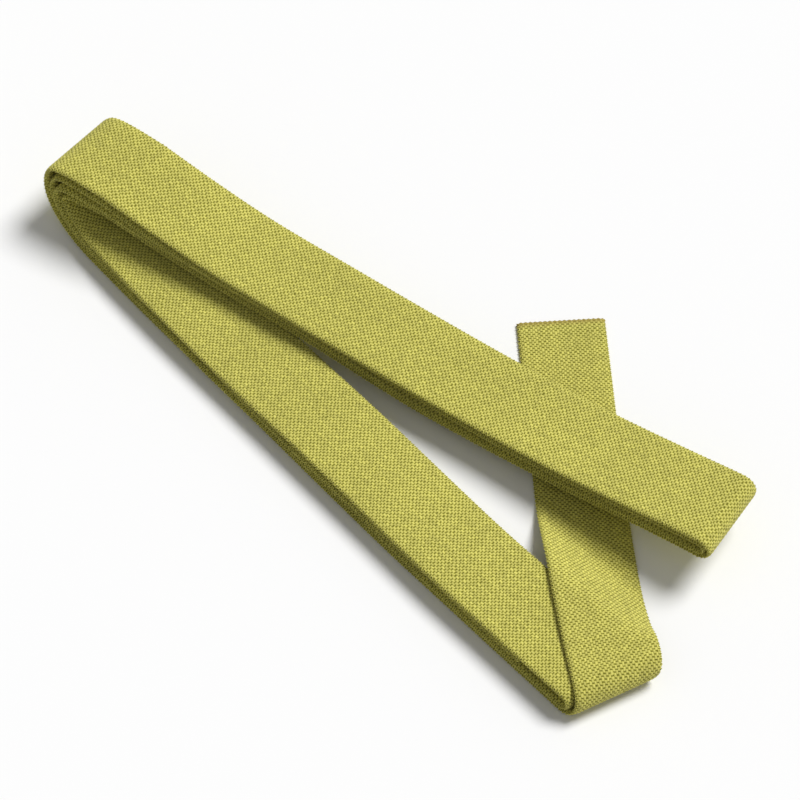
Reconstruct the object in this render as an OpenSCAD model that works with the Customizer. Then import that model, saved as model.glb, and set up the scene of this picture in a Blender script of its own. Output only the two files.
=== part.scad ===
// Stretching strap: one length of heavy woven webbing, doubled up into a hank.
// Two bundles of four layers leave a common fold in a narrow V. The last
// stretch turns over the near bundle, passes under the far one and ends in a
// plain cut end. X runs from the common fold along the middle of the V.

/* [Webbing] */
// Width of the webbing
strap_w = 38; // [34:0.5:40]
// Thickness of the webbing
strap_t = 2.2; // [1.8:0.1:2.2]

/* [Folding] */
// Length of a bundle, from where the two bundles' middles meet to its far fold
run_len = 351; // [340:1:360]
// Angle between the two bundles
spread = 15.8; // [14:0.2:17]
// Sideways bow of the near bundle over its length
near_bow = 9.5; // [4:0.5:10]

/* [Tail] */
// Angle between the tail's fold line and a square fold
tail_skew = 16.5; // [14:0.5:18]
// Length of the tail from its fold to the cut end, along its middle
tail_len = 179; // [174:1:190]
// Turn of the tail on its way to the cut end
tail_turn = 6.5; // [4:0.5:9]
// Distance of the free end's bend line from the upper bundle's edge
flap_clear = 4; // [3:0.5:6]

/* [Hidden] */

lit_green = [0.68, 0.68, 0.27];
deep_green = [0.60, 0.61, 0.22];

half = spread / 2;
pitch = strap_t + 0.2;          // distance between two layers that touch
last = 3;                       // number of a bundle's lowest layer; the top one is 0
edge_r = 0.7;                   // bevel of the woven edges
fold_at = -176.87;              // the common fold's outermost line, in X
apex = [-184.07, -21.93];       // where the bundles' middles would meet
seam_x = 32;                    // from the fold line to where the runs begin
near_u = run_len - 9.2;         // start of the near bundle's inner fold
far_u = run_len - 11.5;         // start of the far bundle's folds
inner_cut_u = run_len - 32;     // the hidden cut end
tail_u = run_len - 3.5;         // start of the tail's fold, at its middle

// Stations along the bundles, from the common fold, and the drape there.
drape_at = [32, 60, 90, 130, 190, 225, 265, 300, 330, 360];
// Height of the upper bundle's top face
drape_h = [34.2, 28.4, 24.2, 22.4, 19.4, 19.2, 21.4, 25.6, 29.6, 30.2];
// Slack between the upper bundle's layers, from the top down
upper_slack = [
    [2.2, 2.0, 1.6], [1.4, 1.2, 1.0], [0.4, 0.5, 0.3], [0.1, 0.3, 0.1], [0.4, 3.6, 0.8],
    [0.3, 3.4, 0.6], [0.2, 2.4, 0.3], [0.2, 2.4, 0.2], [0.1, 3.8, 0.1], [0.1, 3.8, 0.1]
];
// Slack between the lower bundle's layers, from the floor up
lower_slack = [
    [0.4, 1.9, 0.6], [0.3, 1.8, 0.5], [0.1, 2.2, 0.3], [0.1, 2.2, 0.1], [0.3, 2.8, 0.3],
    [0.3, 2.8, 0.3], [0.2, 3.2, 0.2], [0.2, 3.4, 0.2], [0.2, 3.8, 0.2], [0.2, 3.8, 0.2]
];

function mix(a, b, f) = a + (b - a) * f;
function ease(f) = let (c = min(1, max(0, f))) c * c * (3 - 2 * c);
function unit(v) = v / norm(v);
function at_angle(a) = [cos(a), sin(a)];

// Smooth curve through the values v at the stations drape_at.
function slope_at(v, i) =
    let (a = max(0, i - 1), b = min(len(v) - 1, i + 1))
    (v[b] - v[a]) / (drape_at[b] - drape_at[a]);
function span_of(x, i = 0) =
    i >= len(drape_at) - 2 || x < drape_at[i + 1] ? i : span_of(x, i + 1);
function drape(v, x) =
    let (
        i = span_of(x),
        d = drape_at[i + 1] - drape_at[i],
        f = min(1, max(0, (x - drape_at[i]) / d)),
        m0 = slope_at(v, i) * d,
        m1 = slope_at(v, i + 1) * d
    )
    (2 * f ^ 3 - 3 * f ^ 2 + 1) * v[i] + (f ^ 3 - 2 * f ^ 2 + f) * m0
    + (3 * f ^ 2 - 2 * f ^ 3) * v[i + 1] + (f ^ 3 - f ^ 2) * m1;
function slack(rows, n, x, j = 0) =
    j >= n ? 0 : drape([for (row = rows) row[j]], x) + slack(rows, n, x, j + 1);

// Height of a layer's middle at x from the fold line. Layer 0 is the top one,
// and side is 1 for the upper bundle and -1 for the lower one.
function layer_z(side, k, x) =
    side > 0
        ? drape(drape_h, x) - strap_t / 2 - k * pitch - slack(upper_slack, k, x)
        : strap_t / 2 + (last - k) * pitch + slack(lower_slack, last - k, x);
function layer_rise(side, k, x) =
    let (step = 0.5) (layer_z(side, k, x + step) - layer_z(side, k, x - step)) / (2 * step);

// Plan of a bundle: u along its middle from the apex, w across it. The near
// bundle is straight up to bow_from and bows sideways beyond it.
bow_from = 35;
function bow(side, u) =
    side > 0 ? 0 : near_bow * (max(0, u - bow_from) / (run_len - bow_from)) ^ 2;
function bundle_heading(side, u) =
    let (step = 0.5) side * half + atan((bow(side, u + step) - bow(side, u - step)) / (2 * step));
function plan(side, u, w) =
    apex + u * at_angle(side * half) + bow(side, u) * at_angle(90 + side * half)
    + w * at_angle(90 + bundle_heading(side, u));
// Where the point w across a bundle leaves the common fold.
function seam_u(side, w) =
    (seam_x + fold_at - apex[0] + side * w * sin(half)) / cos(half);

// Cross-section of the webbing: [across, through] pairs around its outline,
// with across_n spans along each flat side.
across_n = 6;
function flat_side(sign) = [
    for (i = [0:across_n])
        [sign * mix(-1, 1, i / across_n) * (strap_w / 2 - edge_r), -sign * strap_t / 2]
];
function bevels(sign) = [
    [sign * strap_w / 2, -sign * (strap_t / 2 - edge_r)],
    [sign * strap_w / 2, sign * (strap_t / 2 - edge_r)]
];
section = [each flat_side(1), each bevels(1), each flat_side(-1), each bevels(-1)];

// Closed solid through rings of equal length, each the section's outline. An
// end is closed by pairs of triangles from one flat side to the other.
module web(rings) {
    m = len(rings[0]);
    n = len(rings);
    function at(i, j) = i * m + j % m;
    end_face = [
        for (k = [0:m / 2 - 2]) each
            let (a = (m - 1 + k) % m, b = m - 2 - k) [[a, k, b - 1], [a, b - 1, b]]
    ];
    polyhedron(
        points = [for (r = rings) each r],
        faces = [
            for (i = [0:n - 2]) for (j = [0:m - 1]) each [
                [at(i, j), at(i + 1, j), at(i + 1, j + 1)],
                [at(i, j), at(i + 1, j + 1), at(i, j + 1)]
            ],
            each end_face,
            for (f = end_face) [for (j = [2:-1:0]) at(n - 1, f[j])]
        ],
        convexity = 6
    );
}

// A run of one layer, from the common fold's seam to u_end, where its end face
// is upright. skew turns that face out of square. It has run_rings spans.
run_rings = 24;
module run(side, k, u_end, skew = 0) {
    web([for (i = [0:run_rings]) [for (s = section)
        let (
            u = mix(seam_u(side, s[0]), u_end + s[0] * tan(skew), i / run_rings),
            p = plan(side, u, s[0]),
            x = p[0] - fold_at,
            n = i < run_rings ? unit([-layer_rise(side, k, x), 1]) : [0, 1]
        )
        [p[0] + n[0] * s[1], p[1], layer_z(side, k, x) + n[1] * s[1]]]]);
}

// The common fold: each lower layer turns up into an upper one. wrap counts
// from the outermost turn, which joins the lowest layer to the topmost.
// How far each turn stays from the fold line
fold_reach = [1.1, 4.1, 7.2, 11];
// How far each turn's lower part runs on flat, and how high it bulges
fold_flat = [0.52, 0.48, 0.44, 0.3];
fold_bulge = [0.38, 0.43, 0.5, 0.75];
// Where a turn stands upright, how high its shoulder is and how far it runs in
// from its top, each as a share of the turn's height or reach
fold_mid = 0.72;
fold_shoulder = 1.3;
fold_top_run = 0.7;
fold_rings = 18;
function cubic(p, f) =
    (1 - f) ^ 3 * p[0] + 3 * f * (1 - f) ^ 2 * p[1] + 3 * f ^ 2 * (1 - f) * p[2] + f ^ 3 * p[3];
function cubic_dir(p, f) =
    unit((1 - f) ^ 2 * (p[1] - p[0]) + 2 * f * (1 - f) * (p[2] - p[1]) + f ^ 2 * (p[3] - p[2]));
function fold_curves(wrap) =
    let (
        low = [seam_x, layer_z(-1, last - wrap, seam_x)],
        low_rise = layer_rise(-1, last - wrap, seam_x),
        high = [seam_x, layer_z(1, wrap, seam_x)],
        high_rise = layer_rise(1, wrap, seam_x),
        reach = fold_reach[wrap],
        mid = [reach, mix(low[1], high[1], fold_mid)],
        span = seam_x - reach
    )
    [
        [
            low,
            low - fold_flat[wrap] * span * [1, low_rise],
            [reach, mix(low[1], mid[1], fold_bulge[wrap])],
            mid
        ],
        [
            mid,
            [reach, mix(mid[1], high[1], fold_shoulder)],
            high - fold_top_run * span * [1, high_rise],
            high
        ]
    ];
module common_fold(wrap) {
    curves = fold_curves(wrap);
    web([for (i = [0:fold_rings]) [for (s = section)
        let (
            f = 2 * i / fold_rings,
            c = f < 1 ? curves[0] : curves[1],
            g = f < 1 ? f : f - 1,
            p = cubic(c, g),
            d = cubic_dir(c, g),
            y_low = plan(-1, seam_u(-1, s[0]), s[0])[1],
            y_high = plan(1, seam_u(1, s[0]), s[0])[1]
        )
        [fold_at + p[0] - s[1] * d[1], mix(y_low, y_high, f / 2), p[1] + s[1] * d[0]]]]);
}

// A square fold at the far end of a bundle: layer k_top turns down into k_low.
turn_rings = 12;
module square_fold(side, k_top, k_low, u) {
    web([for (i = [0:turn_rings]) [for (s = section)
        let (
            turn = mix(90, -90, i / turn_rings),
            start = plan(side, u, s[0]),
            high = layer_z(side, k_top, start[0] - fold_at),
            low = layer_z(side, k_low, start[0] - fold_at),
            r = (high - low) / 2 + s[1],
            p = start + r * cos(turn) * at_angle(bundle_heading(side, u))
        )
        [p[0], p[1], (high + low) / 2 + r * sin(turn)]]]);
}

// The tail's fold turns the lowest layer up and over the near bundle. Its
// rulings run along ruling, and it bulges along out.
tip_heading = bundle_heading(-1, tail_u);
ruling = at_angle(tip_heading + 90 - tail_skew);
out = at_angle(tip_heading - tail_skew);
tail_top_z = layer_z(-1, 0, run_len) + pitch;
tail_r = (tail_top_z - strap_t / 2) / 2;
function tail_fold_plan(w, through, turn) =
    plan(-1, tail_u + w * tan(tail_skew), w) + (tail_r + through) * cos(turn) * out
    + tail_r * (90 + turn) * PI / 180 * tan(tail_skew) * ruling;
module tail_turn_over() {
    web([for (i = [0:turn_rings]) [for (s = section)
        let (
            turn = mix(90, -90, i / turn_rings),
            p = tail_fold_plan(s[0], s[1], turn)
        )
        [p[0], p[1], strap_t / 2 + tail_r + (tail_r + s[1]) * sin(turn)]]]);
}

// The tail's middle line, s from the fold's end: straight, a slow curve from
// curve_from to curve_to, and straight again.
tail_heading = tip_heading + 180 - 2 * tail_skew;
curve_from = 8;
curve_to = 90;
curve_rate = tail_turn / (curve_to - curve_from);
function heading(s) = tail_heading - curve_rate * (min(max(s, curve_from), curve_to) - curve_from);
function curve_mid(s) =
    [sin(tail_heading) - sin(heading(s)), cos(heading(s)) - cos(tail_heading)]
    * 180 / PI / curve_rate;
function tail_plan(s, w) =
    tail_fold_plan(0, 0, 90) + min(s, curve_from) * at_angle(tail_heading) + curve_mid(s)
    + max(0, s - curve_to) * at_angle(heading(s)) + w * at_angle(heading(s) - 90);

// Height of the tail: flat on the bundle, then down to the floor. It starts
// down tail_lead before the bundle's edge, takes tail_drop to reach the floor,
// and eases out of its fold over tail_rise.
tail_lead = 1;
tail_drop = 27;
tail_rise = 16;
function tail_z(s, w) =
    let (past = (tail_plan(s, w) - plan(-1, tail_u, strap_w / 2)) * at_angle(90 + tip_heading))
    mix(
        tail_top_z, strap_t / 2,
        ease((past + tail_lead) / tail_drop) * ease((s - w * tan(tail_skew)) / tail_rise)
    );

// Where the tail meets the free end's bend line, beside the upper bundle.
beside = at_angle(90 + half);
function bend_s(w) =
    let (over = (tail_plan(tail_len, w) - apex) * beside - strap_w / 2 - flap_clear)
    tail_len - over / (at_angle(heading(tail_len)) * beside);
// How far along the tail its part over the bundle ends
floor_s = 112;
module tail_part(rings, from, to) {
    web([for (i = [0:rings]) [for (c = section)
        let (
            s = mix(from(c[0]), to(c[0]), i / rings),
            p = tail_plan(s, c[0])
        )
        [p[0], p[1], tail_z(s, c[0]) - c[1]]]]);
}

module lower_run_top() { color(lit_green) run(-1, 0, near_u); }
module lower_run_second() { color(deep_green) run(-1, 1, inner_cut_u); }
module lower_run_third() { color(deep_green) run(-1, 2, near_u); }
module lower_run_bottom() { color(deep_green) run(-1, last, tail_u, tail_skew); }
module upper_run_top() { color(lit_green) run(1, 0, far_u); }
module upper_run_second() { color(deep_green) run(1, 1, far_u); }
module upper_run_third() { color(deep_green) run(1, 2, far_u); }
module upper_run_bottom() { color(deep_green) run(1, last, far_u); }
module fold_outer() { color(lit_green) common_fold(0); }
module fold_second() { color(deep_green) common_fold(1); }
module fold_third() { color(deep_green) common_fold(2); }
module fold_inner() { color(deep_green) common_fold(last); }
module far_fold_outer() { color(lit_green) square_fold(1, 0, last, far_u); }
module far_fold_inner() { color(deep_green) square_fold(1, 1, 2, far_u); }
module near_fold_inner() { color(lit_green) square_fold(-1, 0, 2, near_u); }
module tail_fold() { color(lit_green) tail_turn_over(); }
module tail_over_bundle() {
    color(lit_green) tail_part(24, function (w) w * tan(tail_skew), function (w) floor_s);
}
module tail_under_bundle() {
    color(lit_green) tail_part(6, function (w) floor_s, function (w) bend_s(w));
}
module free_end() {
    color(lit_green) tail_part(4, function (w) bend_s(w), function (w) tail_len);
}

lower_run_top();
lower_run_second();
lower_run_third();
lower_run_bottom();
upper_run_top();
upper_run_second();
upper_run_third();
upper_run_bottom();
fold_outer();
fold_second();
fold_third();
fold_inner();
far_fold_outer();
far_fold_inner();
near_fold_inner();
tail_fold();
tail_over_bundle();
tail_under_bundle();
free_end();
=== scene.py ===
"""Stretching strap: one length of woven cotton webbing, folded into a hank of two bundles of four layers.

Every stretch of the webbing is laid out flat first, as rings of points round its section, half a pick
apart along the strap, with the floats of the weave and the loops of its edges standing out of it. Each point
is then laid on the strap's course through the runs and folds of the CAD frame, so the weave runs on through
every fold. All lengths are in metres.
"""

import math

import bpy
import numpy as np
from bpy.props import FloatProperty, FloatVectorProperty, IntProperty, PointerProperty
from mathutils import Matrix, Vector


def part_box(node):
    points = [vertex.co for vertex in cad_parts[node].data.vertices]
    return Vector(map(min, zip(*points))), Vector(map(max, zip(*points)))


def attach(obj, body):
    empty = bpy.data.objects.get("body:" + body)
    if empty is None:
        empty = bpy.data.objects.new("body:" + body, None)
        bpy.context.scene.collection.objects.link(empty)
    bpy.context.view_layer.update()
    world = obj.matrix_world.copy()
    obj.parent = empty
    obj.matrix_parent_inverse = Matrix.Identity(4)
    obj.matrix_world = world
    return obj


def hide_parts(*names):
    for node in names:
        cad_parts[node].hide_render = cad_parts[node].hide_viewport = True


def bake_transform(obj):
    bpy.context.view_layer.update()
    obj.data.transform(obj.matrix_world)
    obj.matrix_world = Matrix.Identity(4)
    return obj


bl_info = {
    "name": "Stretching strap",
    "version": (1, 0, 0),
    "blender": (4, 5, 0),
    "location": "3D View > Sidebar > Strap",
    "description": "Weaves a folded cotton stretching strap around its CAD frame",
    "category": "Object",
}

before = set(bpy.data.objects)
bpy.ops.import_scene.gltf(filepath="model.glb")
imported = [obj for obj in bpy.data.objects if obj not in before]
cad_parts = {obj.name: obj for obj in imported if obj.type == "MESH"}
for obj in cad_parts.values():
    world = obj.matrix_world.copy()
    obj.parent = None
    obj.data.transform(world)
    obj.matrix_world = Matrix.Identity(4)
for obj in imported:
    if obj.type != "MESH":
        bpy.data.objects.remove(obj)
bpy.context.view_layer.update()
MM = 0.001
PI = math.pi

# The strap's size and how it is folded, as in the CAD frame.
STRAP_W = 38 * MM
STRAP_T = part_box("free_end")[1].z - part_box("free_end")[0].z
FOLD_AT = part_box("fold_outer")[0].x
RUN_LEN = 351 * MM
HALF_SPREAD = math.radians(15.8) / 2
NEAR_BOW = 9.5 * MM
BOW_FROM = 35 * MM
APEX = np.array([FOLD_AT - 7.2 * MM, -21.93 * MM])
SEAM_X = 32 * MM
NEAR_U = RUN_LEN - 9.2 * MM
FAR_U = RUN_LEN - 11.5 * MM
INNER_CUT_U = RUN_LEN - 32 * MM
TAIL_U = RUN_LEN - 3.5 * MM
PITCH = STRAP_T + 0.2 * MM
LAYERS = 4

# How the bundles drape: stations from the common fold, and the height and slack of the layers there.
DRAPE_AT = MM * np.array([32, 60, 90, 130, 190, 225, 265, 300, 330, 360])
DRAPE_H = MM * np.array([34.2, 28.4, 24.2, 22.4, 19.4, 19.2, 21.4, 25.6, 29.6, 30.2])
UPPER_SLACK = MM * np.array([
    [2.2, 2.0, 1.6], [1.4, 1.2, 1.0], [0.4, 0.5, 0.3], [0.1, 0.3, 0.1], [0.4, 3.6, 0.8],
    [0.3, 3.4, 0.6], [0.2, 2.4, 0.3], [0.2, 2.4, 0.2], [0.1, 3.8, 0.1], [0.1, 3.8, 0.1],
])
LOWER_SLACK = MM * np.array([
    [0.4, 1.9, 0.6], [0.3, 1.8, 0.5], [0.1, 2.2, 0.3], [0.1, 2.2, 0.1], [0.3, 2.8, 0.3],
    [0.3, 2.8, 0.3], [0.2, 3.2, 0.2], [0.2, 3.4, 0.2], [0.2, 3.8, 0.2], [0.2, 3.8, 0.2],
])

# The common fold's four turns: how far each stays from the fold line, how far its lower part runs on flat
# and how high it bulges. Then for every turn: where it stands upright, how high its shoulder is and how far
# it runs in from its top, each as a share of the turn's height or reach.
FOLD_REACH = MM * np.array([1.1, 4.1, 7.2, 11])
FOLD_FLAT = [0.52, 0.48, 0.44, 0.3]
FOLD_BULGE = [0.38, 0.43, 0.5, 0.75]
FOLD_MID = 0.72
FOLD_SHOULDER = 1.3
FOLD_TOP_RUN = 0.7
FOLD_SAMPLES = 200

# The tail: its skewed fold over the lower bundle and its way to the cut end. It starts down TAIL_LEAD before
# the bundle's edge. TAIL_SPLIT_U is where its piece begins on the lowest layer.
TAIL_SKEW = math.radians(16.5)
TAIL_LEN = 179 * MM
TAIL_TURN = math.radians(6.5)
CURVE_FROM = 8 * MM
CURVE_TO = 90 * MM
TAIL_LEAD = 1 * MM
TAIL_DROP = 27 * MM
TAIL_RISE = 16 * MM
TAIL_SPLIT_U = 300 * MM

# How each turn of the strap sways from side to side over the others.
SWAY = MM * np.array([0.35, 0.75, 0.6, 0.5])
SWAY_START = [0.4, 2.3, 4.4, 1.2]
SWAY_LENGTH = 190 * MM
SWAY_END = 285 * MM
SWAY_FADE = 45 * MM

# The webbing's section: yarns from point to point across a plain face, then how far from its middle the
# weft's loops lie and how thick its two outermost yarns are, as shares of half the thickness.
PLAIN_STEP = 5
EDGE_LOOP = 0.3
EDGE_THINNING = [0.6, 0.9]

# How soiled the first rings at the cut end are.
CUT_WEAR = [0.85, 0.55, 0.2]

# How the pieces join: how far a turn of the common fold runs on past its seams, how much height at each of
# its ends doesn't bend and at how many places across it those ends are read, and how far a piece may stand
# out of its CAD solids.
FOLD_OVERLAP = 3.2 * MM
FOLD_STIFF = 1.2 * MM
BEND_SAMPLES = 9
BOX_TOLERANCE = 4 * MM

# The stage: half the floor's width, how soft the key light is and how it leans, what the camera looks at and
# the width of its sensor in millimetres.
FLOOR_HALF = 4.0
KEY_SOFTNESS = math.radians(26)
KEY_LEAN = (math.radians(-32), math.radians(12), 0)
CAMERA_AIM = (6.13 * MM, -10.43 * MM, 0)
SENSOR_W = 36


def at_angle(a):
    """Unit vector in plan."""
    return np.array([math.cos(a), math.sin(a)])


def ease(f):
    """0 to 1 with level ends."""
    f = np.clip(f, 0, 1)
    return f * f * (3 - 2 * f)


def drape(values, x):
    """Smooth curve through the values at the stations DRAPE_AT."""
    ends = np.minimum(np.arange(len(values)) + 1, len(values) - 1)
    starts = np.maximum(np.arange(len(values)) - 1, 0)
    slopes = (values[ends] - values[starts]) / (DRAPE_AT[ends] - DRAPE_AT[starts])
    i = np.clip(np.searchsorted(DRAPE_AT, x, side="right") - 1, 0, len(values) - 2)
    d = DRAPE_AT[i + 1] - DRAPE_AT[i]
    f = np.clip((x - DRAPE_AT[i]) / d, 0, 1)
    return (
        (2 * f**3 - 3 * f**2 + 1) * values[i]
        + (f**3 - 2 * f**2 + f) * slopes[i] * d
        + (3 * f**2 - 2 * f**3) * values[i + 1]
        + (f**3 - f**2) * slopes[i + 1] * d
    )


def layer_z(side, k, x):
    """Height of a layer's middle at x from the fold line. Layer 0 is the top one."""
    if side > 0:
        slack = sum(drape(UPPER_SLACK[:, j], x) for j in range(k))
        return drape(DRAPE_H, x) - STRAP_T / 2 - k * PITCH - slack
    below = LAYERS - 1 - k
    slack = sum(drape(LOWER_SLACK[:, j], x) for j in range(below))
    return STRAP_T / 2 + below * PITCH + slack + 0 * x


def layer_rise(side, k, x):
    """Slope of a layer at x from the fold line."""
    step = 0.5 * MM
    return (layer_z(side, k, x + step) - layer_z(side, k, x - step)) / (2 * step)


def bow(side, u):
    """How far a bundle's middle bows sideways at u. Only the lower one does."""
    return 0 * u if side > 0 else NEAR_BOW * (np.maximum(0, u - BOW_FROM) / (RUN_LEN - BOW_FROM)) ** 2


def heading_of(side, u):
    """Heading of a bundle's middle at u."""
    step = 0.5 * MM
    return side * HALF_SPREAD + np.arctan((bow(side, u + step) - bow(side, u - step)) / (2 * step))


def plan(side, u, w):
    """X and Y of the point w across a bundle and u along its middle, from where the two middles meet."""
    a = heading_of(side, u)
    along = at_angle(side * HALF_SPREAD)
    across = at_angle(PI / 2 + side * HALF_SPREAD)
    x = APEX[0] + u * along[0] + bow(side, u) * across[0] - w * np.sin(a)
    y = APEX[1] + u * along[1] + bow(side, u) * across[1] + w * np.cos(a)
    return x, y


SEAM_U = (SEAM_X + FOLD_AT - APEX[0]) / math.cos(HALF_SPREAD)


def on_bundle(side, k, u, w):
    """Point and upward normal of layer k of a bundle."""
    x, y = plan(side, u, w)
    from_fold = x - FOLD_AT
    rise = layer_rise(side, k, from_fold)
    size = np.sqrt(1 + rise**2)
    point = np.stack([x, y, layer_z(side, k, from_fold)], -1)
    return point, np.stack([-rise / size, 0 * x, 1 / size], -1)


def bezier(p, f):
    """Points along the cubic curve with the control points p."""
    f = f[:, None]
    return (1 - f) ** 3 * p[0] + 3 * f * (1 - f) ** 2 * p[1] + 3 * f**2 * (1 - f) * p[2] + f**3 * p[3]


def fold_profile(wrap):
    """X from the fold line and Z along one turn of the common fold, from its lower seam to its upper one."""
    seam = np.array(SEAM_X)
    low = np.array([SEAM_X, layer_z(-1, LAYERS - 1 - wrap, seam)])
    high = np.array([SEAM_X, layer_z(1, wrap, seam)])
    low_run = np.array([1, layer_rise(-1, LAYERS - 1 - wrap, seam)])
    high_run = np.array([1, layer_rise(1, wrap, seam)])
    reach = FOLD_REACH[wrap]
    span = SEAM_X - reach
    mid = np.array([reach, low[1] + FOLD_MID * (high[1] - low[1])])
    bulge = np.array([reach, low[1] + FOLD_BULGE[wrap] * (mid[1] - low[1])])
    lower = [low, low - FOLD_FLAT[wrap] * span * low_run, bulge, mid]
    shoulder = np.array([reach, mid[1] + FOLD_SHOULDER * (high[1] - mid[1])])
    upper = [mid, shoulder, high - FOLD_TOP_RUN * span * high_run, high]
    f = np.linspace(0, 1, FOLD_SAMPLES)
    points = np.concatenate([bezier(lower, f), bezier(upper, f)[1:]])
    steps = np.linalg.norm(np.diff(points, axis=0), axis=1)
    return points, np.concatenate([[0], np.cumsum(steps)])


class Wrap:
    """One full turn of the strap: a lower layer, its turn of the common fold and an upper layer. c runs along
    it, from the middle of the fold, negative on the lower side."""

    def __init__(self, k):
        self.k = k
        self.profile, self.arc = fold_profile(k)
        self.half_fold = self.arc[-1] / 2

    def c_of(self, side, u):
        """c at u along a bundle."""
        return side * (self.half_fold + u - SEAM_U)

    def on_profile(self, arc):
        """X from the fold line and Z at a distance along the turn."""
        return np.interp(arc, self.arc, self.profile[:, 0]), np.interp(arc, self.arc, self.profile[:, 1])

    def on_fold(self, g, w):
        """g runs from 0 at the lower seam to 1 at the upper one."""
        at = g * self.arc[-1]
        step = 0.4 * MM
        x, z = self.on_profile(at)
        x_after, z_after = self.on_profile(at + step)
        x_before, z_before = self.on_profile(at - step)
        dx, dz = x_after - x_before, z_after - z_before
        size = np.hypot(dx, dz)
        y_low = plan(-1, SEAM_U - w * math.tan(HALF_SPREAD), w)[1]
        y_high = plan(1, SEAM_U + w * math.tan(HALF_SPREAD), w)[1]
        point = np.stack([FOLD_AT + x, y_low + (y_high - y_low) * g, z], -1)
        return point, np.stack([-dz / size, 0 * x, dx / size], -1)

    def sway(self, c):
        """How far the strap lies to one side, so that the layers' edges don't line up. It dies away before
        the far folds."""
        swing = np.sin(2 * PI * c / SWAY_LENGTH + SWAY_START[self.k])
        return SWAY[self.k] * swing * ease((SWAY_END - np.abs(c)) / SWAY_FADE)

    def lay(self, c, w):
        w = w + self.sway(c)
        g = (c - w * math.tan(HALF_SPREAD) + self.half_fold) / (2 * self.half_fold)
        low = on_bundle(-1, LAYERS - 1 - self.k, SEAM_U - c - self.half_fold, w)
        high = on_bundle(1, self.k, SEAM_U + c - self.half_fold, w)
        fold = self.on_fold(np.clip(g, 0, 1), w)
        point = np.where((g < 0)[..., None], low[0], np.where((g > 1)[..., None], high[0], fold[0]))
        # The face that is uppermost on an upper layer is undermost on a lower one, so its normal is
        # reversed there.
        normal = np.where((g < 0)[..., None], -low[1], np.where((g > 1)[..., None], high[1], fold[1]))
        return point, normal


class Tail:
    """The strap beyond the lowest layer: the skewed fold over the lower bundle, the tail and the free end."""

    def __init__(self):
        self.tip = float(heading_of(-1, np.array(TAIL_U)))
        self.ruling = at_angle(self.tip + PI / 2 - TAIL_SKEW)
        self.out = at_angle(self.tip - TAIL_SKEW)
        self.top_z = float(layer_z(-1, 0, np.array(RUN_LEN))) + PITCH
        self.r = (self.top_z - STRAP_T / 2) / 2
        self.start = self.tip + PI - 2 * TAIL_SKEW
        self.rate = TAIL_TURN / (CURVE_TO - CURVE_FROM)
        self.fold_len = PI * self.r / math.cos(TAIL_SKEW)
        self.end_u = TAIL_U + self.fold_len + TAIL_LEN
        self.fold_end = self.fold_plan(np.array(0.0), np.array(PI / 2))

    def fold_plan(self, w, turn):
        x, y = plan(-1, TAIL_U + w * math.tan(TAIL_SKEW), w)
        out = self.r * np.cos(turn)
        slide = self.r * (PI / 2 + turn) * math.tan(TAIL_SKEW)
        return x + out * self.out[0] + slide * self.ruling[0], y + out * self.out[1] + slide * self.ruling[1]

    def heading(self, s):
        return self.start - self.rate * (np.clip(s, CURVE_FROM, CURVE_TO) - CURVE_FROM)

    def tail_plan(self, s, w):
        a = self.heading(s)
        first = np.minimum(s, CURVE_FROM)
        last = np.maximum(0, s - CURVE_TO)
        x = self.fold_end[0] + first * math.cos(self.start) + last * np.cos(a) + w * np.sin(a)
        y = self.fold_end[1] + first * math.sin(self.start) + last * np.sin(a) - w * np.cos(a)
        x = x + (math.sin(self.start) - np.sin(a)) / self.rate
        y = y + (np.cos(a) - math.cos(self.start)) / self.rate
        return x, y

    def on_tail(self, s, w):
        x, y = self.tail_plan(s, w)
        edge_x, edge_y = plan(-1, np.array(TAIL_U), np.array(STRAP_W / 2))
        across = at_angle(PI / 2 + self.tip)
        past = (x - edge_x) * across[0] + (y - edge_y) * across[1]
        down = ease((past + TAIL_LEAD) / TAIL_DROP) * ease((s - w * math.tan(TAIL_SKEW)) / TAIL_RISE)
        return np.stack([x, y, self.top_z + (STRAP_T / 2 - self.top_z) * down], -1)

    def lay(self, u, w):
        e = u - TAIL_U - w * math.tan(TAIL_SKEW)
        arc = e * math.cos(TAIL_SKEW)
        bundle, up = on_bundle(-1, LAYERS - 1, u, w)
        turn = np.clip(arc / self.r, 0, PI) - PI / 2
        x, y = self.fold_plan(w, turn)
        fold = np.stack([x, y, STRAP_T / 2 + self.r * (1 + np.sin(turn))], -1)
        fold_normal = np.stack([np.cos(turn) * self.out[0], np.cos(turn) * self.out[1], np.sin(turn)], -1)
        s = u - TAIL_U - self.fold_len
        step = 0.5 * MM
        tail = self.on_tail(s, w)
        tail_normal = np.cross(
            self.on_tail(s - step, w) - self.on_tail(s + step, w),
            self.on_tail(s, w + step) - self.on_tail(s, w - step),
        )
        tail_normal /= np.linalg.norm(tail_normal, axis=-1, keepdims=True)
        before = (e < 0)[..., None]
        beyond = (arc > PI * self.r)[..., None]
        point = np.where(before, bundle, np.where(beyond, tail, fold))
        return point, np.where(before, -up, np.where(beyond, tail_normal, fold_normal))


WRAPS = [Wrap(k) for k in range(LAYERS)]
TAIL = Tail()


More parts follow.
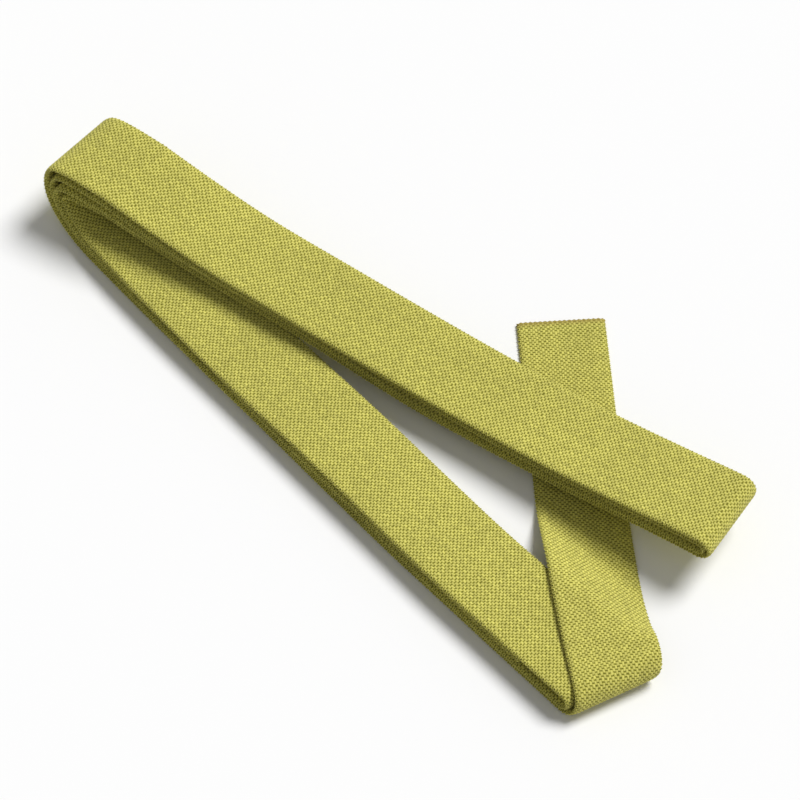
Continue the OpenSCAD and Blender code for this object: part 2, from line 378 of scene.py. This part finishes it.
class SquareFold:
    """A fold at a bundle's far end. arc runs from the upper layer down to the lower one."""

    def __init__(self, side, k_top, k_low, u):
        self.side, self.k_top, self.k_low, self.u = side, k_top, k_low, u
        self.along = at_angle(float(heading_of(side, np.array(u))))
        x = plan(side, np.array(u), np.array(0.0))[0] - FOLD_AT
        self.length = PI * float(layer_z(side, k_top, x) - layer_z(side, k_low, x)) / 2

    def lay(self, arc, w):
        turn = PI * (0.5 - arc / self.length)
        x, y = plan(self.side, self.u + 0 * arc, w)
        high = layer_z(self.side, self.k_top, x - FOLD_AT)
        low = layer_z(self.side, self.k_low, x - FOLD_AT)
        out = np.stack([np.cos(turn) * self.along[0], np.cos(turn) * self.along[1], np.sin(turn)], -1)
        middle = np.stack([x, y, (high + low) / 2], -1)
        return middle + ((high - low) / 2)[..., None] * out, out


# ---------------------------------------------------------------- weave


def section_points(weave, top_woven, under_woven):
    """Points round the strap's section: place across, place through, place in the weave's own count of yarns,
    the direction across and through in which the weave stands out, and by how much."""
    n = weave.yarns
    gauge = STRAP_W / n
    half_t = weave.half_thickness
    edge = [0, 1, 2, n - 3, n - 2, n - 1]
    plain = sorted(set(edge + list(range(2, n - 2, PLAIN_STEP))))
    top = range(n) if top_woven else plain
    under = range(n) if under_woven else plain
    thin = dict(zip([0, 1, n - 2, n - 1], EDGE_THINNING + EDGE_THINNING[::-1]))
    points = []
    for i in top:
        gain = weave.float_height if top_woven or i in edge else 0
        points.append(((i + 0.5 - n / 2) * gauge, half_t * thin.get(i, 1), i, 0, 1, gain))
    for j, through in enumerate((EDGE_LOOP, -EDGE_LOOP)):
        points.append((STRAP_W / 2, through * half_t, n + j, 1, 0, weave.loop_depth))
    for i in reversed(under):
        gain = weave.float_height if under_woven or i in edge else 0
        points.append(((i + 0.5 - n / 2) * gauge, -half_t * thin.get(i, 1), 2 * n + 1 - i, 0, -1, gain))
    for j, through in enumerate((-EDGE_LOOP, EDGE_LOOP)):
        points.append((-STRAP_W / 2, through * half_t, 2 * n + 2 + j, -1, 0, weave.loop_depth))
    return np.array(points, float)


def end_faces(n_top, m, woven_through):
    """Faces that close the first ring: quads between two woven sides, or one face."""
    if not woven_through:
        return [tuple(range(m))]
    under = [m - 3 - i for i in range(n_top)]
    quads = [(i, i + 1, under[i + 1], under[i]) for i in range(n_top - 1)]
    right = (n_top - 1, n_top, n_top + 1, n_top + 2)
    left = (0, under[0], m - 2, m - 1)
    return quads + [right, left]


def weave_band(name, counts, course, top_woven=False, under_woven=False, cut_end=False):
    """A closed stretch of webbing. counts are its rings' numbers of half picks, rising, and course(counts, w)
    gives the points and outward normals there. cut_end soils the first rings, where the webbing was cut."""
    weave = bpy.context.scene.strap_weave
    section = section_points(weave, top_woven, under_woven)
    across, through, yarn, side_w, side_t, gain = section.T
    n, m = len(counts), len(section)
    relief = gain * np.cos(PI * (counts[:, None] + yarn))
    relief[[0, -1]] *= 0.5  # a creased ring keeps twice as much of its relief
    w = across + side_w * relief
    point, normal = course(np.repeat(counts[:, None].astype(float), m, 1), w)
    point = point + normal * (through + side_t * relief)[..., None]

    around = [(j, (j + 1) % m) for j in range(m)]
    faces = [
        (i * m + j, (i + 1) * m + j, (i + 1) * m + k, i * m + k) for i in range(n - 1) for j, k in around
    ]
    first = end_faces(weave.yarns, m, top_woven and under_woven)
    last = [tuple((n - 1) * m + j for j in reversed(face)) for face in first]
    mesh = bpy.data.meshes.new(name)
    mesh.from_pydata(point.reshape(-1, 3).tolist(), [], faces + first + last)

    # U counts half picks along the strap and V counts yarns across it, on round both edges.
    wide = np.append(yarn, 2 * weave.yarns + 4)
    coords = [
        (counts[i + di], wide[j + dj])
        for i in range(n - 1)
        for j in range(m)
        for di, dj in ((0, 0), (1, 0), (1, 1), (0, 1))
    ]
    coords += [(counts[0], wide[j]) for face in first for j in face]
    coords += [(counts[-1], wide[j]) for face in first for j in reversed(face)]
    mesh.uv_layers.new(name="strap").data.foreach_set("uv", np.array(coords, np.float32).ravel())
    mesh.shade_smooth()

    verts = np.empty(2 * len(mesh.edges), np.int32)
    mesh.edges.foreach_get("vertices", verts)
    ring = verts.reshape(-1, 2) // m
    rim = (ring[:, 0] == ring[:, 1]) & ((ring[:, 0] == 0) | (ring[:, 0] == n - 1))
    mesh.attributes.new("crease_edge", "FLOAT", "EDGE").data.foreach_set("value", rim.astype(np.float32))
    mesh.attributes.new("sharp_edge", "BOOLEAN", "EDGE").data.foreach_set("value", rim)
    worn = np.zeros((n, m), np.float32)
    if cut_end:
        worn[: len(CUT_WEAR)] = np.array(CUT_WEAR)[:, None]
    mesh.attributes.new("cut", "FLOAT", "POINT").data.foreach_set("value", worn.ravel())

    band = bpy.data.objects.new(name, mesh)
    bpy.context.scene.collection.objects.link(band)
    rounding = band.modifiers.new("Round the floats", "SUBSURF")
    rounding.levels = rounding.render_levels = 1
    rounding.use_limit_surface = False
    rounding.uv_smooth = "NONE"
    mesh.materials.append(webbing_material())
    return band


def apply_modifiers(obj):
    """The object's finished mesh takes the place of its cage."""
    finished = bpy.data.meshes.new_from_object(obj.evaluated_get(bpy.context.evaluated_depsgraph_get()))
    cage = obj.data
    obj.modifiers.clear()
    obj.data = finished
    bpy.data.meshes.remove(cage)
    finished.name = obj.name


# ---------------------------------------------------------------- courses


def fold_cells(wrap):
    """Half picks from the middle of a common fold to where its piece ends, past its seam."""
    return math.ceil((wrap.half_fold + FOLD_OVERLAP) / bpy.context.scene.strap_weave.half_pick)


def run_course(wrap, side, end_u, bend=None):
    """Numbers of half picks and the course of one layer, from its common fold to end_u and round a far bend,
    which ends on an even number."""
    pick = bpy.context.scene.strap_weave.half_pick
    cells = fold_cells(wrap)
    start = cells * pick
    reach = abs(wrap.c_of(side, end_u)) - start
    straight = round(reach / pick)
    turned = 0 if bend is None else round(bend.length / pick)
    turned += (cells + straight + turned) % 2 if bend else 0

    def course(counts, w):
        along = np.abs(counts) - cells
        c = side * (start + np.minimum(along, straight) * reach / straight)
        point, normal = wrap.lay(c, w)
        if bend is None:
            return point, normal
        over = along - straight
        bent, out = bend.lay(np.maximum(over, 0) * bend.length / turned, w)
        past = (over > 0)[..., None]
        return np.where(past, bent, point), np.where(past, side * out, normal)

    counts = np.arange(cells, cells + straight + turned + 1)
    return (counts if side > 0 else -counts[::-1]), course


def tail_course(split_u):
    """Numbers of half picks and the course of the tail, from split_u on the lowest layer to the cut end."""
    wrap = WRAPS[0]
    pick = bpy.context.scene.strap_weave.half_pick
    cells = fold_cells(wrap)
    joined = cells + round((abs(wrap.c_of(-1, split_u)) - cells * pick) / pick)
    rings = round((TAIL.end_u - split_u) / pick)

    def course(counts, w):
        u = split_u + (-counts - joined) * (TAIL.end_u - split_u) / rings
        return TAIL.lay(u, w)

    return -np.arange(joined, joined + rings + 1)[::-1], course


# ---------------------------------------------------------------- pieces


def place(band, body, nodes, joins=()):
    """Ties a finished stretch of webbing to its body and its CAD solids. joins are the
    neighbouring solids that it runs a little way into."""
    if body:
        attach(band, body)
    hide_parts(*nodes)
    boxes = np.array([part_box(node) for node in [*nodes, *joins]])
    low, high = boxes[:, 0].min(0), boxes[:, 1].max(0)
    bpy.context.view_layer.update()
    corners = np.array([v.co for v in band.data.vertices])
    proud = max((low - corners.min(0)).max(), (corners.max(0) - high).max())
    if proud > BOX_TOLERANCE:
        raise RuntimeError(f"{band.name} stands {proud / MM:.1f} mm out of its CAD solids")


def webbing_run(name, wrap_k, side, end_u, nodes, rests_on, bend=None, **woven):
    """One layer of a bundle, with the fold at its far end if it has one."""
    counts, course = run_course(WRAPS[wrap_k], side, end_u, bend)
    band = weave_band(name, counts, course, **woven)
    place(band, "upper_bundle" if side > 0 else "lower_bundle", nodes)


def bend_heights(wrap):
    """Heights between which a turn can bend without parting from the layers at its ends."""
    w = np.linspace(-STRAP_W / 2, STRAP_W / 2, BEND_SAMPLES)
    end = fold_cells(wrap) * bpy.context.scene.strap_weave.half_pick
    low = wrap.lay(0 * w - end, w)[0][:, 2].max() + FOLD_STIFF
    high = wrap.lay(0 * w + end, w)[0][:, 2].min() - FOLD_STIFF
    return low, high


def common_fold(name, wrap_k, node, joins, rests_on, **woven):
    """One turn of the common fold."""
    wrap = WRAPS[wrap_k]
    pick = bpy.context.scene.strap_weave.half_pick
    cells = fold_cells(wrap)
    counts = np.arange(-cells, cells + 1)
    band = weave_band(name, counts, lambda at, w: wrap.lay(at * pick, w), **woven)
    apply_modifiers(band)
    # The heights between which this turn and the innermost turn could bend.
    own, inner = np.array(bend_heights(wrap)), np.array(bend_heights(WRAPS[-1]))
    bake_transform(band)
    place(band, None, [node], joins)


# ---------------------------------------------------------------- material


def webbing_material():
    """Plain-woven cotton: oval floats in a brick pattern over gaps darkened with painted shade, with a
    painted highlight on the floats' crowns, dyed slightly unevenly.
    """
    name = "woven_cotton"
    if name in bpy.data.materials:
        return bpy.data.materials[name]
    look = bpy.context.scene.strap_colours
    material = bpy.data.materials.new(name)
    material.use_nodes = True
    tree = material.node_tree
    nodes, links = tree.nodes, tree.links
    nodes.clear()

    weave_frame = nodes.new("NodeFrame")
    weave_frame.label = "Weave"
    yarn_frame = nodes.new("NodeFrame")
    yarn_frame.label = "Yarn"
    dye_frame = nodes.new("NodeFrame")
    dye_frame.label = "Dye"
    surface_frame = nodes.new("NodeFrame")
    surface_frame.label = "Surface"

    strap_uv = nodes.new("ShaderNodeUVMap")
    strap_uv.label = "Place on the strap"
    strap_uv.uv_map = "strap"
    wander = nodes.new("ShaderNodeTexNoise")
    wander.label = "Where yarns wander"
    wander.inputs["Scale"].default_value = 420
    wander.inputs["Detail"].default_value = 1
    wander_by = nodes.new("ShaderNodeVectorMath")
    wander_by.label = "How far they wander"
    wander_by.operation = "MULTIPLY_ADD"
    wander_by.inputs[1].default_value = (1.1, 0.9, 0)
    wander_by.inputs[2].default_value = (-0.55, -0.45, 0)
    wandered = nodes.new("ShaderNodeVectorMath")
    wandered.label = "Wandering yarns"
    wandered.operation = "ADD"
    counts = nodes.new("ShaderNodeSeparateXYZ")
    counts.label = "Half picks and yarns"
    yarn = nodes.new("ShaderNodeMath")
    yarn.label = "Nearest yarn"
    yarn.operation = "ROUND"
    phase = nodes.new("ShaderNodeMath")
    phase.label = "Over or under"
    phase.operation = "ADD"
    swing = nodes.new("ShaderNodeMath")
    swing.label = "Turns of the weave"
    swing.operation = "MULTIPLY"
    swing.inputs[1].default_value = PI
    wave = nodes.new("ShaderNodeMath")
    wave.label = "Rise and fall of a yarn"
    wave.operation = "COSINE"
    length = nodes.new("ShaderNodeMapRange")
    length.label = "Length of a float"
    length.interpolation_type = "SMOOTHSTEP"
    length.inputs["From Min"].default_value = -1.12
    length.inputs["From Max"].default_value = -0.2
    beside = nodes.new("ShaderNodeMath")
    beside.label = "Off the yarn's middle"
    beside.operation = "SUBTRACT"
    bend = nodes.new("ShaderNodeMath")
    bend.label = "How round a yarn is"
    bend.operation = "MULTIPLY"
    bend.inputs[1].default_value = 1.9
    roundness = nodes.new("ShaderNodeMath")
    roundness.label = "Yarn's round back"
    roundness.operation = "COSINE"
    relief = nodes.new("ShaderNodeMath")
    relief.label = "Floats"
    relief.operation = "MULTIPLY"

    across_ply = nodes.new("ShaderNodeMath")
    across_ply.label = "Slant of the ply"
    across_ply.operation = "MULTIPLY"
    across_ply.inputs[1].default_value = 7.0
    along_ply = nodes.new("ShaderNodeMath")
    along_ply.label = "Ply along the yarn"
    along_ply.operation = "MULTIPLY_ADD"
    along_ply.inputs[1].default_value = 9.4
    ply = nodes.new("ShaderNodeMath")
    ply.label = "Two-ply twist"
    ply.operation = "SINE"
    place_on = nodes.new("ShaderNodeTexCoord")
    place_on.label = "Place in space"
    fuzz = nodes.new("ShaderNodeTexNoise")
    fuzz.label = "Cotton fuzz"
    fuzz.inputs["Scale"].default_value = 1500
    fuzz.inputs["Detail"].default_value = 3
    float_at = nodes.new("ShaderNodeMath")
    float_at.label = "Which float"
    float_at.operation = "MULTIPLY_ADD"
    float_at.inputs[1].default_value = 0.5
    float_at.inputs[2].default_value = 0.5
    float_no = nodes.new("ShaderNodeMath")
    float_no.label = "Float's number"
    float_no.operation = "FLOOR"
    float_key = nodes.new("ShaderNodeCombineXYZ")
    float_key.label = "Float and yarn"
    float_tint = nodes.new("ShaderNodeTexWhiteNoise")
    float_tint.label = "Each float's own shade"
    float_tint.noise_dimensions = "2D"
    yarn_tint = nodes.new("ShaderNodeTexWhiteNoise")
    yarn_tint.label = "Each yarn's own shade"
    yarn_tint.noise_dimensions = "1D"

    dye = nodes.new("ShaderNodeTexNoise")
    dye.label = "Uneven dye"
    dye.inputs["Scale"].default_value = 26
    dye.inputs["Detail"].default_value = 2
    # Painted shade and highlight: the weave's relief picks the colour. Painted shade is darkest at the bottom
    # of the gaps and where a yarn dips under, the floats' sides get the yarn's own colour, and their crowns
    # get a painted highlight.
    ramp = nodes.new("ShaderNodeValToRGB")
    ramp.label = "Painted gap shade to float highlight"
    ramp.color_ramp.elements[0].position = 0.0
    ramp.color_ramp.elements[0].color = (*look.deep_gap_shade, 1)
    ramp.color_ramp.elements[1].position = 1.0
    ramp.color_ramp.elements[1].color = (*look.top, 1)
    gap = ramp.color_ramp.elements.new(0.22)
    gap.color = (*look.gap, 1)
    base = ramp.color_ramp.elements.new(0.62)
    base.color = (*look.base, 1)
    float_shade = nodes.new("ShaderNodeMapRange")
    float_shade.label = "Shade of a float"
    float_shade.inputs["To Min"].default_value = 0.89
    float_shade.inputs["To Max"].default_value = 1.1
    yarn_shade = nodes.new("ShaderNodeMapRange")
    yarn_shade.label = "Shade of a yarn"
    yarn_shade.inputs["To Min"].default_value = 0.95
    yarn_shade.inputs["To Max"].default_value = 1.04
    dye_shade = nodes.new("ShaderNodeMapRange")
    dye_shade.label = "Shade of the dye"
    dye_shade.inputs["From Min"].default_value = 0.3
    dye_shade.inputs["From Max"].default_value = 0.7
    dye_shade.inputs["To Min"].default_value = 0.94
    dye_shade.inputs["To Max"].default_value = 1.05
    fuzz_shade = nodes.new("ShaderNodeMapRange")
    fuzz_shade.label = "Shade of the fuzz"
    fuzz_shade.inputs["From Min"].default_value = 0.3
    fuzz_shade.inputs["From Max"].default_value = 0.7
    fuzz_shade.inputs["To Min"].default_value = 0.86
    fuzz_shade.inputs["To Max"].default_value = 1.12
    shade = nodes.new("ShaderNodeMath")
    shade.label = "Floats and yarns"
    shade.operation = "MULTIPLY"
    shade_dye = nodes.new("ShaderNodeMath")
    shade_dye.label = "With the dye"
    shade_dye.operation = "MULTIPLY"
    shade_all = nodes.new("ShaderNodeMath")
    shade_all.label = "With the fuzz"
    shade_all.operation = "MULTIPLY"
    shaded = nodes.new("ShaderNodeVectorMath")
    shaded.label = "Shaded colour"
    shaded.operation = "SCALE"
    cut = nodes.new("ShaderNodeAttribute")
    cut.label = "Cut end"
    cut.attribute_name = "cut"
    browned = nodes.new("ShaderNodeMix")
    browned.label = "Soiled at the cut"
    browned.data_type = "RGBA"
    browned.inputs["B"].default_value = (*look.cut, 1)

    height = nodes.new("ShaderNodeMath")
    height.label = "Ply on the floats"
    height.operation = "MULTIPLY_ADD"
    height.inputs[1].default_value = 0.10
    rough_height = nodes.new("ShaderNodeMath")
    rough_height.label = "Fuzz on the floats"
    rough_height.operation = "MULTIPLY_ADD"
    rough_height.inputs[1].default_value = 0.5
    bump = nodes.new("ShaderNodeBump")
    bump.label = "Yarns"
    bump.inputs["Strength"].default_value = 0.8
    bump.inputs["Distance"].default_value = 0.2 * MM
    surface = nodes.new("ShaderNodeBsdfPrincipled")
    surface.label = "Cotton"
    surface.inputs["Roughness"].default_value = 0.92
    surface.inputs["Specular IOR Level"].default_value = 0.2
    surface.inputs["Sheen Weight"].default_value = 0.15
    surface.inputs["Sheen Roughness"].default_value = 0.6
    surface.inputs["Sheen Tint"].default_value = (0.9, 0.88, 0.5, 1)
    output = nodes.new("ShaderNodeOutputMaterial")
    output.label = "Webbing"

    columns = {
        weave_frame: [
            strap_uv, wander, wander_by, wandered, counts, yarn, phase, swing, wave, length, beside, bend,
            roundness, relief,
        ],
        yarn_frame: [
            place_on, across_ply, along_ply, ply, fuzz, float_at, float_no, float_key, float_tint, yarn_tint,
        ],
        dye_frame: [
            dye, ramp, float_shade, yarn_shade, dye_shade, fuzz_shade, shade, shade_dye, shade_all, shaded,
            cut, browned,
        ],
        surface_frame: [height, rough_height, bump, surface, output],
    }
    for row, (frame_node, inside) in enumerate(columns.items()):
        for column, node in enumerate(inside):
            node.location = (column * 200, -row * 420)
            node.parent = frame_node

    links.new(place_on.outputs["Object"], wander.inputs["Vector"])
    links.new(wander.outputs["Color"], wander_by.inputs[0])
    links.new(strap_uv.outputs["UV"], wandered.inputs[0])
    links.new(wander_by.outputs["Vector"], wandered.inputs[1])
    links.new(wandered.outputs["Vector"], counts.inputs["Vector"])
    links.new(counts.outputs["Y"], yarn.inputs[0])
    links.new(counts.outputs["X"], phase.inputs[0])
    links.new(yarn.outputs[0], phase.inputs[1])
    links.new(phase.outputs[0], swing.inputs[0])
    links.new(swing.outputs[0], wave.inputs[0])
    links.new(wave.outputs[0], length.inputs["Value"])
    links.new(counts.outputs["Y"], beside.inputs[0])
    links.new(yarn.outputs[0], beside.inputs[1])
    links.new(beside.outputs[0], bend.inputs[0])
    links.new(bend.outputs[0], roundness.inputs[0])
    links.new(length.outputs["Result"], relief.inputs[0])
    links.new(roundness.outputs[0], relief.inputs[1])

    links.new(beside.outputs[0], across_ply.inputs[0])
    links.new(counts.outputs["X"], along_ply.inputs[0])
    links.new(across_ply.outputs[0], along_ply.inputs[2])
    links.new(along_ply.outputs[0], ply.inputs[0])
    links.new(place_on.outputs["Object"], fuzz.inputs["Vector"])
    links.new(phase.outputs[0], float_at.inputs[0])
    links.new(float_at.outputs[0], float_no.inputs[0])
    links.new(float_no.outputs[0], float_key.inputs["X"])
    links.new(yarn.outputs[0], float_key.inputs["Y"])
    links.new(float_key.outputs["Vector"], float_tint.inputs["Vector"])
    links.new(yarn.outputs[0], yarn_tint.inputs["W"])

    links.new(place_on.outputs["Object"], dye.inputs["Vector"])
    links.new(relief.outputs[0], ramp.inputs["Fac"])
    links.new(float_tint.outputs["Value"], float_shade.inputs["Value"])
    links.new(yarn_tint.outputs["Value"], yarn_shade.inputs["Value"])
    links.new(dye.outputs["Fac"], dye_shade.inputs["Value"])
    links.new(fuzz.outputs["Fac"], fuzz_shade.inputs["Value"])
    links.new(float_shade.outputs["Result"], shade.inputs[0])
    links.new(yarn_shade.outputs["Result"], shade.inputs[1])
    links.new(shade.outputs[0], shade_dye.inputs[0])
    links.new(dye_shade.outputs["Result"], shade_dye.inputs[1])
    links.new(shade_dye.outputs[0], shade_all.inputs[0])
    links.new(fuzz_shade.outputs["Result"], shade_all.inputs[1])
    links.new(ramp.outputs["Color"], shaded.inputs["Vector"])
    links.new(shade_all.outputs[0], shaded.inputs["Scale"])
    links.new(cut.outputs["Fac"], browned.inputs["Factor"])
    links.new(shaded.outputs["Vector"], browned.inputs["A"])

    links.new(ply.outputs[0], height.inputs[0])
    links.new(relief.outputs[0], height.inputs[2])
    links.new(fuzz.outputs["Fac"], rough_height.inputs[0])
    links.new(height.outputs[0], rough_height.inputs[2])
    links.new(rough_height.outputs[0], bump.inputs["Height"])
    links.new(bump.outputs["Normal"], surface.inputs["Normal"])
    links.new(browned.outputs["Result"], surface.inputs["Base Color"])
    links.new(surface.outputs["BSDF"], output.inputs["Surface"])
    return material


# ---------------------------------------------------------------- properties


class StrapWeave(bpy.types.PropertyGroup):
    yarns: IntProperty(name="Yarns", description="Warp yarns across the strap", default=36, min=12)
    half_pick: FloatProperty(
        name="Half pick", description="From one weft yarn to the next along the strap",
        default=1.055 * MM, precision=5, unit="LENGTH",
    )
    float_height: FloatProperty(
        name="Float height", description="How far the floats' cage stands out of the webbing's faces",
        default=0.7 * MM, precision=5, unit="LENGTH",
    )
    loop_depth: FloatProperty(
        name="Loop depth", description="How far the weft's loops stand out of the edges",
        default=1.7 * MM, precision=5, unit="LENGTH",
    )
    half_thickness: FloatProperty(
        name="Half thickness", description="From the webbing's middle to the middle of its floats",
        default=0.93 * MM, precision=5, unit="LENGTH",
    )


class StrapColours(bpy.types.PropertyGroup):
    # Painted highlight on the crowns of the floats.
    top: FloatVectorProperty(
        name="Float", description="Crown of a float",
        default=(0.66, 0.615, 0.155), subtype="COLOR", min=0, max=1,
    )
    base: FloatVectorProperty(
        name="Yarn", description="Side of a float",
        default=(0.50, 0.465, 0.082), subtype="COLOR", min=0, max=1,
    )
    # Painted shade where a yarn dips under.
    gap: FloatVectorProperty(
        name="Gap", description="Yarn that dips under",
        default=(0.29, 0.275, 0.03), subtype="COLOR", min=0, max=1,
    )
    # Painted shade at the bottom of the gaps.
    deep_gap_shade: FloatVectorProperty(
        name="Depth", description="Bottom of the gaps",
        default=(0.12, 0.115, 0.01), subtype="COLOR", min=0, max=1,
    )
    cut: FloatVectorProperty(
        name="Cut end", description="Soiled ends of the yarns",
        default=(0.33, 0.24, 0.06), subtype="COLOR", min=0, max=1,
    )
    floor: FloatVectorProperty(
        name="Floor", description="The studio floor",
        default=(0.9, 0.9, 0.9), subtype="COLOR", min=0, max=1,
    )


class StrapStage(bpy.types.PropertyGroup):
    azimuth: FloatProperty(
        name="Azimuth", description="Camera's turn round the strap",
        default=math.radians(42), subtype="ANGLE",
    )
    elevation: FloatProperty(
        name="Elevation", description="Camera's height above the floor",
        default=math.radians(57), subtype="ANGLE",
    )
    distance: FloatProperty(name="Distance", description="From camera to strap", default=1.6, unit="LENGTH")
    lens: FloatProperty(name="Lens", description="Focal length on a 36 mm sensor", default=168.3, min=10)
    key: FloatProperty(
        name="Key light", description="Strength of the soft key light", default=3.05, unit="POWER",
    )
    fill: FloatProperty(name="Fill light", description="Strength of the light from all round", default=0.29)


# ---------------------------------------------------------------- operators


class STRAP_OT_upper_bundle(bpy.types.Operator):
    """Weave the upper bundle's four layers and the folds at its far end"""

    bl_idname = "strap.upper_bundle"
    bl_label = "Upper Bundle"

    def execute(self, context):
        far_outer = SquareFold(1, 0, 3, FAR_U)
        far_inner = SquareFold(1, 1, 2, FAR_U)
        webbing_run(
            "upper_layer_top", 0, 1, FAR_U, ["upper_run_top", "far_fold_outer"], ["upper_layer_second"],
            bend=far_outer, top_woven=True,
        )
        webbing_run(
            "upper_layer_second", 1, 1, FAR_U, ["upper_run_second", "far_fold_inner"], ["upper_layer_third"],
            bend=far_inner,
        )
        webbing_run("upper_layer_third", 2, 1, FAR_U, ["upper_run_third"], ["upper_layer_bottom"])
        webbing_run(
            "upper_layer_bottom", 3, 1, FAR_U, ["upper_run_bottom"], ["lower_layer_top"], under_woven=True,
        )
        return {"FINISHED"}


class STRAP_OT_lower_bundle(bpy.types.Operator):
    """Weave the lower bundle's four layers and the fold at its near end"""

    bl_idname = "strap.lower_bundle"
    bl_label = "Lower Bundle"

    def execute(self, context):
        near_inner = SquareFold(-1, 0, 2, NEAR_U)
        webbing_run(
            "lower_layer_top", 3, -1, NEAR_U, ["lower_run_top", "near_fold_inner"], ["lower_layer_second"],
            bend=near_inner, under_woven=True,
        )
        webbing_run("lower_layer_second", 2, -1, INNER_CUT_U, ["lower_run_second"], ["lower_layer_third"])
        webbing_run("lower_layer_third", 1, -1, NEAR_U, ["lower_run_third"], ["lower_layer_bottom"])
        webbing_run("lower_layer_bottom", 0, -1, TAIL_SPLIT_U, ["lower_run_bottom"], ["floor"])
        return {"FINISHED"}


class STRAP_OT_common_fold(bpy.types.Operator):
    """Weave the four nested turns that join the two bundles"""

    bl_idname = "strap.common_fold"
    bl_label = "Common Fold"

    def execute(self, context):
        common_fold(
            "turn_outer", 0, "fold_outer", ["lower_run_bottom", "upper_run_top"], ["floor"], top_woven=True,
        )
        common_fold("turn_second", 1, "fold_second", ["lower_run_third", "upper_run_second"], ["turn_outer"])
        common_fold("turn_third", 2, "fold_third", ["lower_run_second", "upper_run_third"], ["turn_second"])
        common_fold(
            "turn_inner", 3, "fold_inner", ["lower_run_top", "upper_run_bottom"], ["turn_third"],
            top_woven=True, under_woven=True,
        )
        return {"FINISHED"}


class STRAP_OT_tail(bpy.types.Operator):
    """Weave the skewed fold, the tail over the lower bundle and the free end"""

    bl_idname = "strap.tail"
    bl_label = "Tail"

    def execute(self, context):
        counts, course = tail_course(TAIL_SPLIT_U)
        band = weave_band("tail", counts, course, top_woven=True, under_woven=True, cut_end=True)
        apply_modifiers(band)
        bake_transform(band)
        nodes = ["lower_run_bottom", "tail_fold", "tail_over_bundle", "tail_under_bundle", "free_end"]
        place(band, None, nodes)
        return {"FINISHED"}


class STRAP_OT_stage(bpy.types.Operator):
    """Lay the floor and set the lights and the camera"""

    bl_idname = "strap.stage"
    bl_label = "Stage"

    def execute(self, context):
        scene = context.scene
        settings = scene.strap_stage
        colours = scene.strap_colours
        mesh = bpy.data.meshes.new("floor")
        half = FLOOR_HALF
        corners = [(-half, -half, 0), (half, -half, 0), (half, half, 0), (-half, half, 0)]
        mesh.from_pydata(corners, [], [(0, 1, 2, 3)])
        floor = bpy.data.objects.new("floor", mesh)
        scene.collection.objects.link(floor)
        paint = bpy.data.materials.new("studio_floor")
        paint.use_nodes = True
        board = paint.node_tree.nodes["Principled BSDF"]
        board.inputs["Base Color"].default_value = (*colours.floor, 1)
        board.inputs["Roughness"].default_value = 0.9
        board.inputs["Specular IOR Level"].default_value = 0.1
        mesh.materials.append(paint)

        world = bpy.data.worlds.new("Studio")
        world.use_nodes = True
        sky = world.node_tree.nodes["Background"]
        sky.inputs["Color"].default_value = (1, 1, 1, 1)
        sky.inputs["Strength"].default_value = settings.fill
        scene.world = world
        scene.view_settings.view_transform = "Standard"

        key_data = bpy.data.lights.new("key", "SUN")
        key_data.energy = settings.key
        key_data.angle = KEY_SOFTNESS
        key = bpy.data.objects.new("key", key_data)
        key.rotation_euler = KEY_LEAN
        scene.collection.objects.link(key)

        camera_data = bpy.data.cameras.new("camera")
        camera_data.lens = settings.lens
        camera_data.sensor_width = SENSOR_W
        camera = bpy.data.objects.new("camera", camera_data)
        turn, tilt = settings.azimuth, settings.elevation
        back = Vector((math.sin(turn) * math.cos(tilt), -math.cos(turn) * math.cos(tilt), math.sin(tilt)))
        camera.location = Vector(CAMERA_AIM) + settings.distance * back
        camera.rotation_euler = back.to_track_quat("Z", "Y").to_euler()
        scene.collection.objects.link(camera)
        scene.camera = camera
        return {"FINISHED"}


class STRAP_PT_panel(bpy.types.Panel):
    """Buttons and settings of the strap"""

    bl_idname = "STRAP_PT_panel"
    bl_label = "Stretching Strap"
    bl_space_type = "VIEW_3D"
    bl_region_type = "UI"
    bl_category = "Strap"

    def draw(self, context):
        layout = self.layout
        for operator in OPERATORS:
            layout.operator(operator.bl_idname)
        for group in (context.scene.strap_weave, context.scene.strap_colours, context.scene.strap_stage):
            box = layout.box()
            for name in group.__annotations__:
                box.prop(group, name)


OPERATORS = (
    STRAP_OT_upper_bundle,
    STRAP_OT_lower_bundle,
    STRAP_OT_common_fold,
    STRAP_OT_tail,
    STRAP_OT_stage,
)
CLASSES = (StrapWeave, StrapColours, StrapStage, *OPERATORS, STRAP_PT_panel)


def register():
    for cls in CLASSES:
        bpy.utils.register_class(cls)
    bpy.types.Scene.strap_weave = PointerProperty(type=StrapWeave)
    bpy.types.Scene.strap_colours = PointerProperty(type=StrapColours)
    bpy.types.Scene.strap_stage = PointerProperty(type=StrapStage)


def unregister():
    del bpy.types.Scene.strap_stage
    del bpy.types.Scene.strap_colours
    del bpy.types.Scene.strap_weave
    for cls in reversed(CLASSES):
        bpy.utils.unregister_class(cls)


def main():
    register()
    bpy.ops.strap.stage()
    bpy.ops.strap.upper_bundle()
    bpy.ops.strap.lower_bundle()
    bpy.ops.strap.common_fold()
    bpy.ops.strap.tail()
    bpy.context.view_layer.update()


if __name__ == "__main__":
    main()
